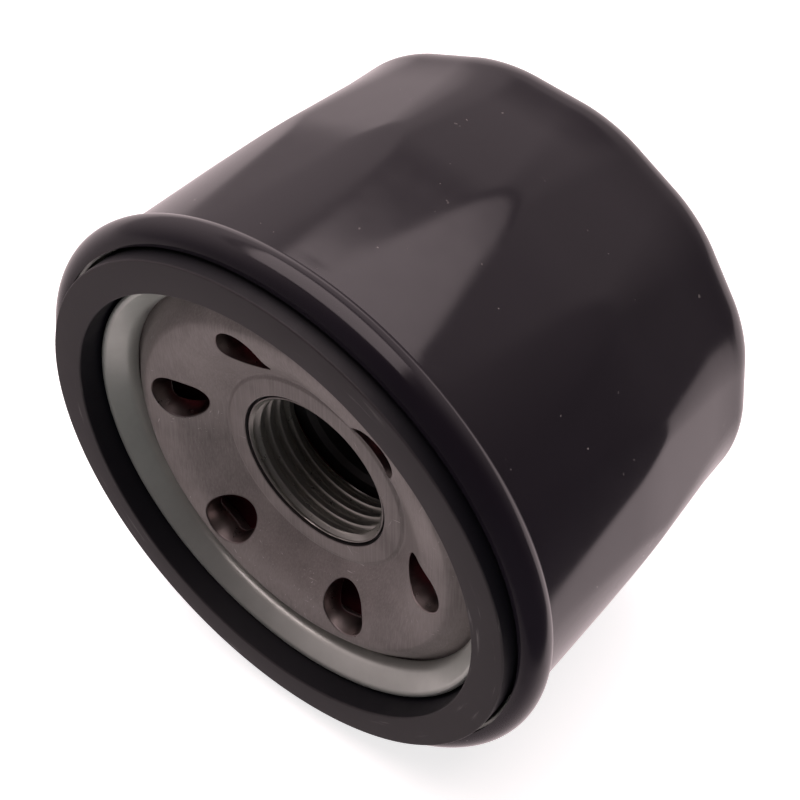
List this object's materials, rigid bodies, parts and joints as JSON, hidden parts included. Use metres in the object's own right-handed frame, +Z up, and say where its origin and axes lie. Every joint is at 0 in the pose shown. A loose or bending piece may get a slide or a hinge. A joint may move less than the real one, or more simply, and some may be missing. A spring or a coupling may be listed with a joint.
{
  "type": "spin-on oil filter",
  "caption": "Spin-on engine oil filter: black drawn can with wrench flats, rolled seam, face gasket, threaded dished plate with inlet holes and a pleated element inside.",
  "frame": {"origin": "centre of the gasket's sealing face, on the filter's axis", "axes": "the filter lies on its side: -Y points out of the threaded end towards the engine, +Y out of the domed end, +Z is up and +X is to the right of someone looking at the threaded end"},
  "size_m": [0.0676, 0.049, 0.0676],
  "materials": {
    "black_paint": "glossy black enamel on drawn steel",
    "zinc_sheet": "satin plated sheet",
    "seam_compound": "dried sealing compound",
    "gasket_rubber": "matt nitrile rubber",
    "plate_steel": "phosphated pressed steel with fine scratches",
    "weld_steel": "weld nugget",
    "silicone": "dark red silicone",
    "tinplate": "bright tinplate",
    "plastisol": "cured brick-red plastisol",
    "filter_paper": "resin-treated cellulose",
    "clip_steel": "bright strip",
    "phosphate_steel": "black phosphated sheet steel",
    "poppet_rubber": "moulded nitrile",
    "spring_steel": "drawn spring wire",
    "hold_spring_steel": "oiled spring wire"
  },
  "bodies": {
    "housing": {"can_shell": "black_paint", "gasket_retainer": "zinc_sheet", "seam_sealant": "seam_compound", "sealing_gasket": "gasket_rubber", "tapping_plate": "plate_steel", "spot_welds": "weld_steel", "drainback_sleeve": "silicone", "lower_end_cap": "phosphate_steel", "lower_cap_adhesive": "plastisol", "pleated_media": "filter_paper", "media_seam_clip": "clip_steel", "center_tube": "phosphate_steel", "upper_cap_adhesive": "plastisol", "upper_end_cap": "phosphate_steel", "bypass_seat": "tinplate", "bypass_spring": "spring_steel", "bypass_cage": "tinplate", "hold_down_spring": "hold_spring_steel"},
    "poppet": {"bypass_poppet": "poppet_rubber"},
    "flap": {"drainback_flap": "silicone"}
  },
  "joints": [
    {"name": "bypass_open", "type": "slide", "parent": "housing", "child": "poppet", "axis": [0, -1, 0], "range_m": [0, 0.0025], "stiffness_N_per_m": 1500, "springref_m": -0.002, "deforming": ["bypass_spring"]},
    {"name": "drainback_lift", "type": "slide", "parent": "housing", "child": "flap", "axis": [0, 1, 0], "range_m": [0, 0.0012], "stiffness_N_per_m": 400, "springref_m": -0.0005}
  ]
}
